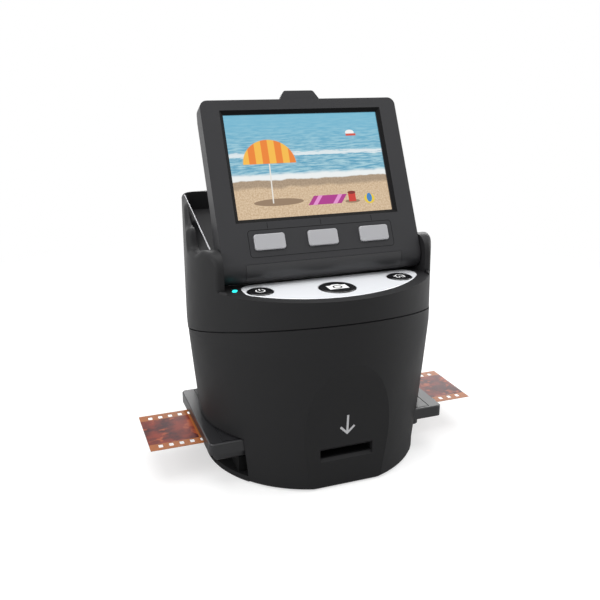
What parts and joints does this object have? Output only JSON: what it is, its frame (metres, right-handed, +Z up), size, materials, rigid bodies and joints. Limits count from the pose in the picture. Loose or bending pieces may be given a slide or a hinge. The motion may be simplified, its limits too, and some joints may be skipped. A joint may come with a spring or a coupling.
{
  "type": "film negative scanner",
  "caption": "Desktop film negative scanner: rounded tower with a tilting screen, push buttons, a sliding film holder and a card slot.",
  "frame": {"origin": "centre of the body's footprint in plan, at the underside of the feet", "axes": "+Z up, -Y to the front (the side with the screen's face and the buttons), +X to the right as seen from the front"},
  "size_m": [0.162, 0.1134, 0.1676],
  "materials": {
    "shell": "satin",
    "screen_shell": "satin",
    "inner_black": "matte",
    "tray": "satin",
    "white_gloss": "gloss",
    "button": "gloss",
    "key": "satin",
    "light_lens": "gloss",
    "diffuser": "satin",
    "screen_glass": "gloss",
    "optic": "gloss",
    "board": "satin",
    "socket_metal": "satin",
    "steel": "satin",
    "feet": "matte",
    "film": "gloss"
  },
  "bodies": {
    "body": {"lower_housing": "shell", "upper_housing": "shell", "base_plate": "shell", "rubber_feet": "feet", "base_screws": "steel", "housing_screws": "steel", "hinge_pins": "steel", "deck_insert": "white_gloss", "status_light": "light_lens", "control_board": "board", "deck_switches": "inner_black", "tray_rails": "inner_black", "lamp_box": "inner_black", "light_panel": "diffuser", "light_board": "board", "film_gate": "inner_black", "lens_tower": "inner_black", "lens_barrel": "inner_black", "lens_glass": "optic", "image_sensor": "optic", "sensor_board": "board", "card_socket": "socket_metal", "main_board": "board", "usb_socket": "socket_metal", "video_socket": "socket_metal"},
    "display": {"display_bezel": "screen_shell", "display_back": "screen_shell", "lcd_panel": "screen_glass", "display_board": "board", "hinge_cover": "screen_shell"},
    "key_left": {"display_key_left": "key"},
    "key_middle": {"display_key_middle": "key"},
    "key_right": {"display_key_right": "key"},
    "power": {"power_button": "button"},
    "capture": {"capture_button": "button"},
    "home": {"home_button": "button"},
    "tray": {"tray_top": "tray", "tray_base": "tray"},
    "film": {"film_strip": "film"}
  },
  "joints": [
    {"name": "display_tilt", "type": "hinge", "parent": "body", "child": "display", "pos_m": [0, -0.0191, 0.09555], "axis": [1, 0, 0], "range_deg": [-46, 8]},
    {"name": "key_left_press", "type": "slide", "parent": "display", "child": "key_left", "axis": [0, 0.8965, -0.4431], "range_m": [0, 0.0004], "stiffness_N_per_m": 600},
    {"name": "key_middle_press", "type": "slide", "parent": "display", "child": "key_middle", "axis": [0, 0.8965, -0.4431], "range_m": [0, 0.0004], "stiffness_N_per_m": 600},
    {"name": "key_right_press", "type": "slide", "parent": "display", "child": "key_right", "axis": [0, 0.8965, -0.4431], "range_m": [0, 0.0004], "stiffness_N_per_m": 600},
    {"name": "power_press", "type": "slide", "parent": "body", "child": "power", "axis": [0, 0, -1], "range_m": [0, 0.0005], "stiffness_N_per_m": 800},
    {"name": "capture_press", "type": "slide", "parent": "body", "child": "capture", "axis": [0, 0, -1], "range_m": [0, 0.0005], "stiffness_N_per_m": 800},
    {"name": "home_press", "type": "slide", "parent": "body", "child": "home", "axis": [0, 0, -1], "range_m": [0, 0.0005], "stiffness_N_per_m": 800},
    {"name": "tray_slide", "type": "slide", "parent": "body", "child": "tray", "axis": [1, 0, 0], "range_m": [-0.06, 0.06]},
    {"name": "film_slide", "type": "slide", "parent": "tray", "child": "film", "axis": [1, 0, 0], "range_m": [-0.038, 0.038]}
  ]
}
